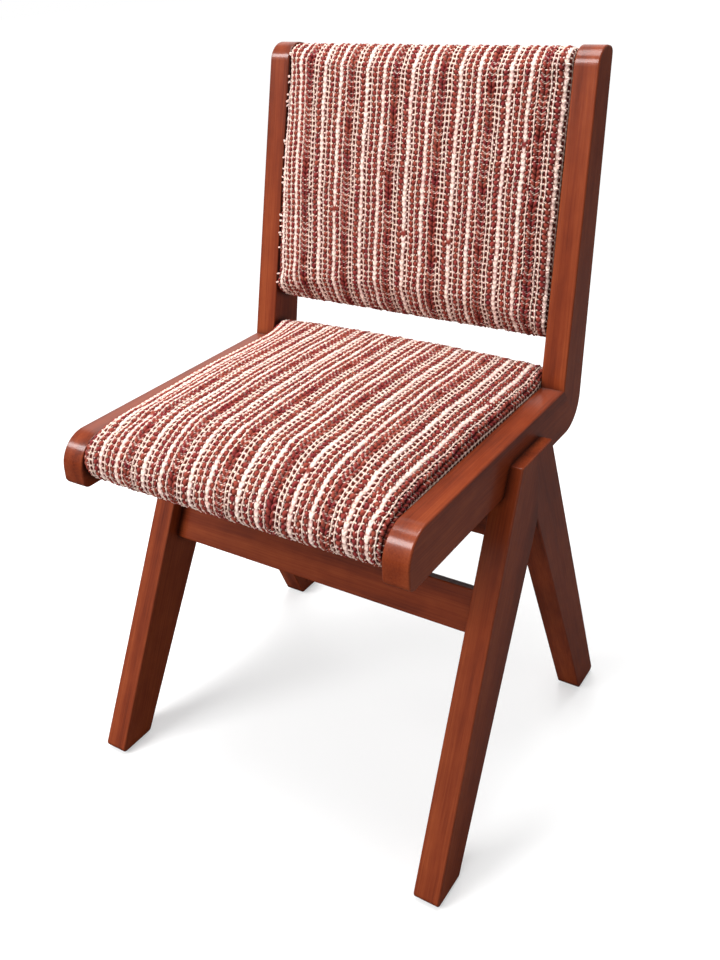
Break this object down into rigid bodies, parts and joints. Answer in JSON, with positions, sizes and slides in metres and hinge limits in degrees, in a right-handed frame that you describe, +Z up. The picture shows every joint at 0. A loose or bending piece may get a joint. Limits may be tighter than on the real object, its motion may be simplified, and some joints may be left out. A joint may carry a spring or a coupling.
{
  "type": "restaurant chair",
  "caption": "Armless wooden dining chair: mitred side frames on splayed legs, tied by crossbars, with a striped padded seat and back between them.",
  "frame": {"origin": "on the floor, under the centre of the chair's overall box", "axes": "+Z up; the front of the seat faces -Y; +X is to the right of someone who faces the chair's front"},
  "size_m": [0.48, 0.4838, 0.82],
  "materials": {
    "frame_wood": "red-brown stain, satin lacquer",
    "inner_wood": "planed, unfinished",
    "plywood": "sanded, unfinished",
    "dowel_wood": "fluted, unfinished",
    "foam": "open-cell foam",
    "striped_fabric": "coarse looped yarn in stripes",
    "covered_panel": "board covered in the striped cloth",
    "dust_cloth": "thin non-woven cloth",
    "screw_steel": "zinc plated",
    "glide_plastic": "moulded, matt"
  },
  "bodies": {
    "root": {"apex_dowels": "dowel_wood", "back_board": "plywood", "back_board_screws": "screw_steel", "back_cover": "striped_fabric", "back_foam": "foam", "back_lower_rail": "inner_wood", "back_post_left": "frame_wood", "back_post_right": "frame_wood", "back_rail_dowels": "dowel_wood", "back_rear_panel": "covered_panel", "back_upper_rail": "inner_wood", "corner_block_front_left": "inner_wood", "corner_block_front_right": "inner_wood", "corner_block_rear_left": "inner_wood", "corner_block_rear_right": "inner_wood", "crossbar_dowels": "dowel_wood", "foot_glide_front_left": "glide_plastic", "foot_glide_front_right": "glide_plastic", "foot_glide_rear_left": "glide_plastic", "foot_glide_rear_right": "glide_plastic", "front_crossbar": "frame_wood", "front_leg_left": "frame_wood", "front_leg_right": "frame_wood", "lap_screws": "screw_steel", "mitre_dowels": "dowel_wood", "rear_crossbar": "frame_wood", "rear_leg_left": "frame_wood", "rear_leg_right": "frame_wood", "seat_board": "plywood", "seat_board_screws": "screw_steel", "seat_cover": "striped_fabric", "seat_dust_cover": "dust_cloth", "seat_foam": "foam", "seat_front_rail": "inner_wood", "seat_rail_dowels": "dowel_wood", "seat_rail_left": "frame_wood", "seat_rail_right": "frame_wood", "seat_rear_rail": "inner_wood"}
  },
  "joints": []
}
